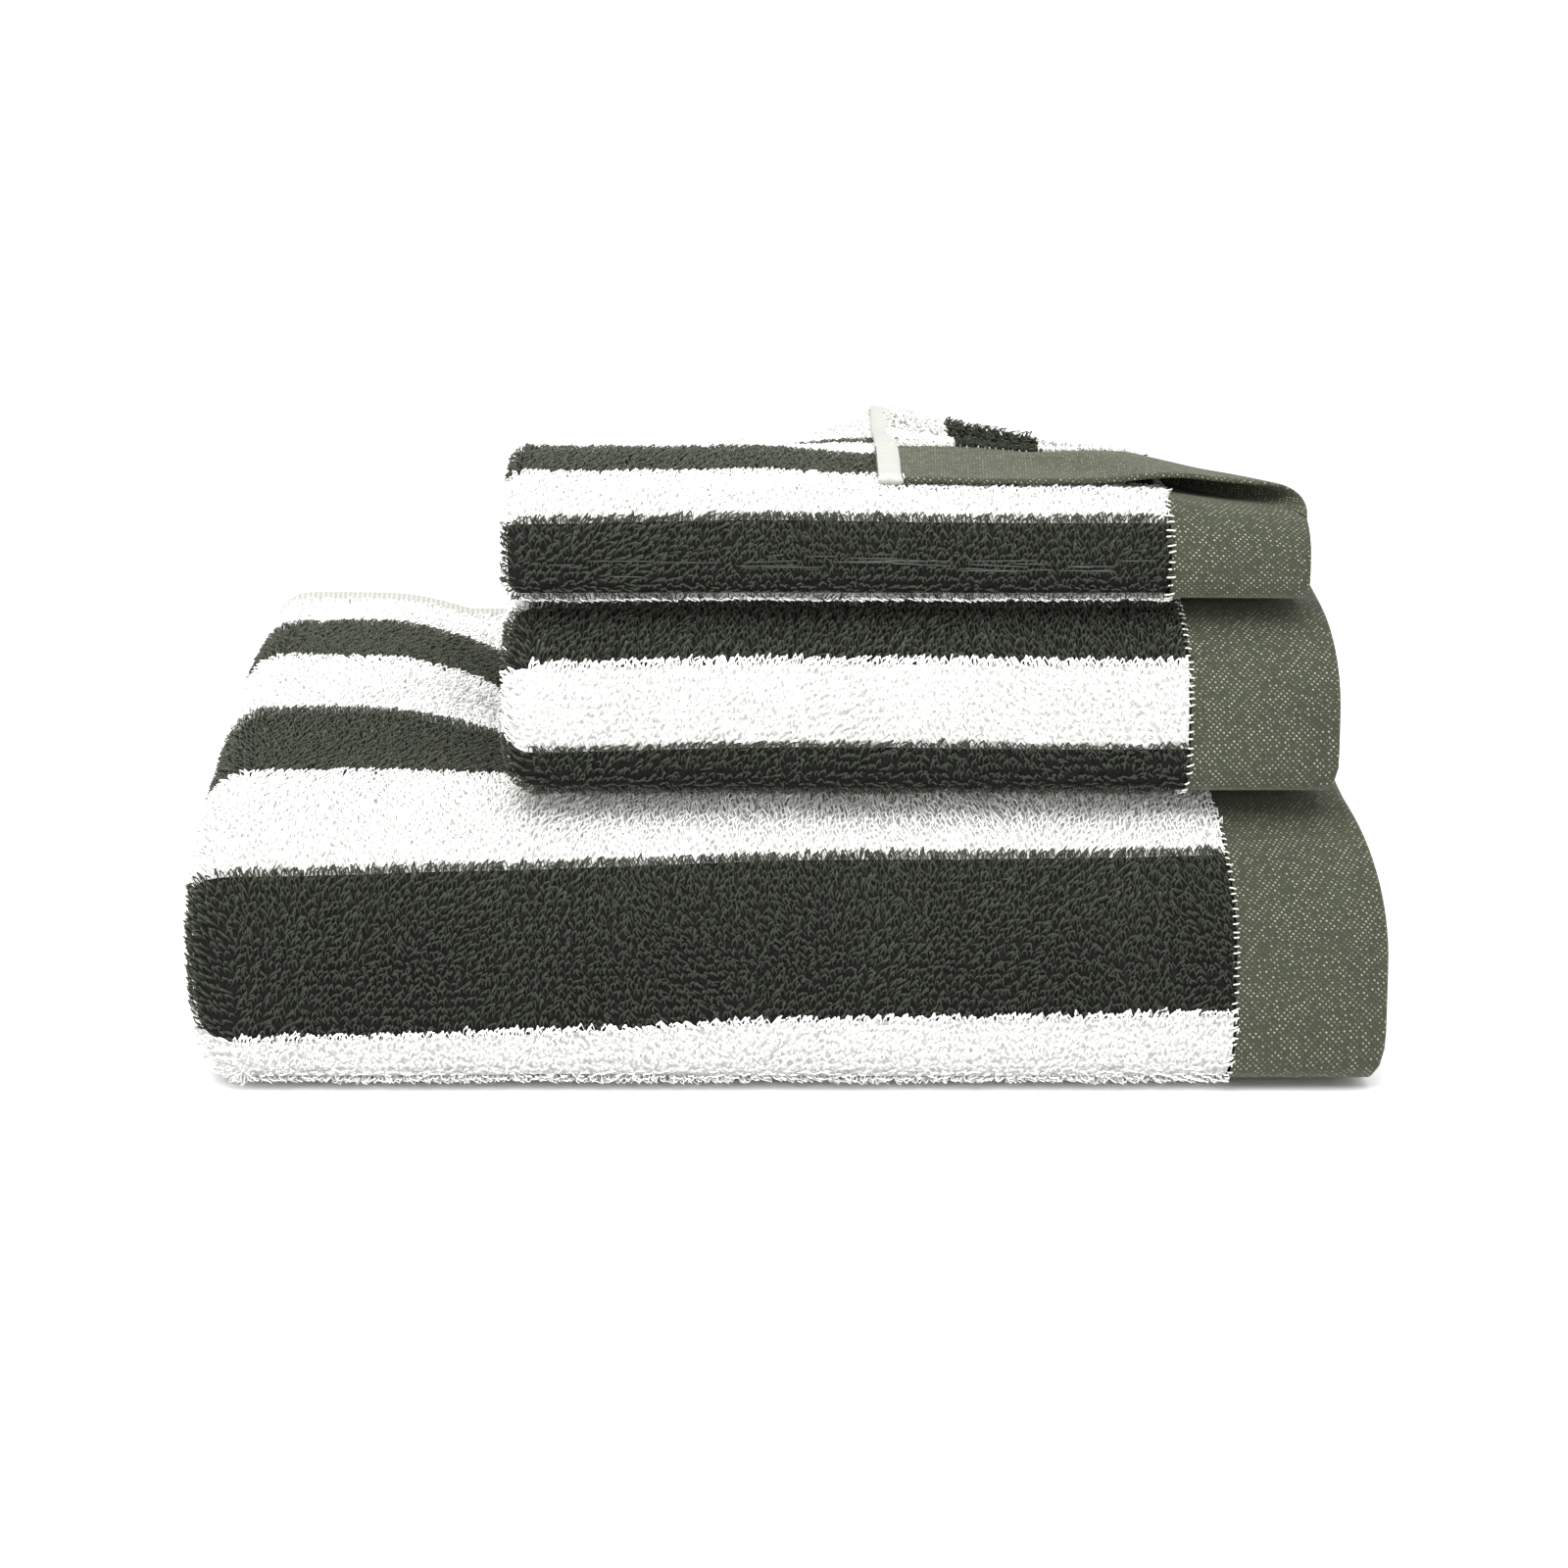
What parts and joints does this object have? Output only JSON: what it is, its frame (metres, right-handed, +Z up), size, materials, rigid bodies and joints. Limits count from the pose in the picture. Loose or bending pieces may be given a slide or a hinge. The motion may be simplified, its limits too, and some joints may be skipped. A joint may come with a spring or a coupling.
{
  "type": "folded terry towel set",
  "caption": "Stack of folded striped terry towels, bath towel below, hand towel and guest towel above, the guest towel's corner turned back over a flat woven border.",
  "frame": {"origin": "middle of the stack's footprint, on the bath towel's flat underside", "axes": "+X along the stripes towards the woven borders, -Y is the front with the round folds, +Z up through the stack"},
  "size_m": [0.35, 0.248, 0.184],
  "materials": {
    "terry": "looped cotton pile, dark olive and white stripes",
    "woven_border": "flat olive twill with pale flecks",
    "stitching": "cream cotton thread",
    "side_hem": "turned cotton hem"
  },
  "bodies": {
    "bath_towel": {"bath_terry_cloth": "terry", "bath_outer_border": "woven_border", "bath_inner_border": "woven_border", "bath_outer_border_seam": "stitching", "bath_inner_border_seam": "stitching", "bath_outer_side_hem": "side_hem", "bath_inner_side_hem": "side_hem"},
    "hand_towel": {"hand_terry_cloth": "terry", "hand_outer_border": "woven_border", "hand_inner_border": "woven_border", "hand_outer_border_seam": "stitching", "hand_inner_border_seam": "stitching", "hand_outer_side_hem": "side_hem", "hand_inner_side_hem": "side_hem"},
    "guest_towel": {"guest_terry_cloth": "terry", "guest_outer_border": "woven_border", "guest_inner_border": "woven_border", "guest_outer_border_seam": "stitching", "guest_inner_border_seam": "stitching", "guest_outer_side_hem": "side_hem", "guest_inner_side_hem": "side_hem"},
    "turned_corner": {"corner_terry": "terry", "corner_border": "woven_border", "corner_border_seam": "stitching", "corner_side_hem": "side_hem"}
  },
  "joints": [
    {"name": "hand_towel_lift", "type": "slide", "parent": "bath_towel", "child": "hand_towel", "axis": [0, 0, 1], "range_m": [0, 0.2]},
    {"name": "guest_towel_lift", "type": "slide", "parent": "hand_towel", "child": "guest_towel", "axis": [0, 0, 1], "range_m": [0, 0.15]},
    {"name": "corner_crease", "type": "hinge", "parent": "guest_towel", "child": "turned_corner", "pos_m": [0.092, -0.0325, 0.17865], "axis": [-0.7071, 0.7071, 0], "range_deg": [0, 170]}
  ]
}
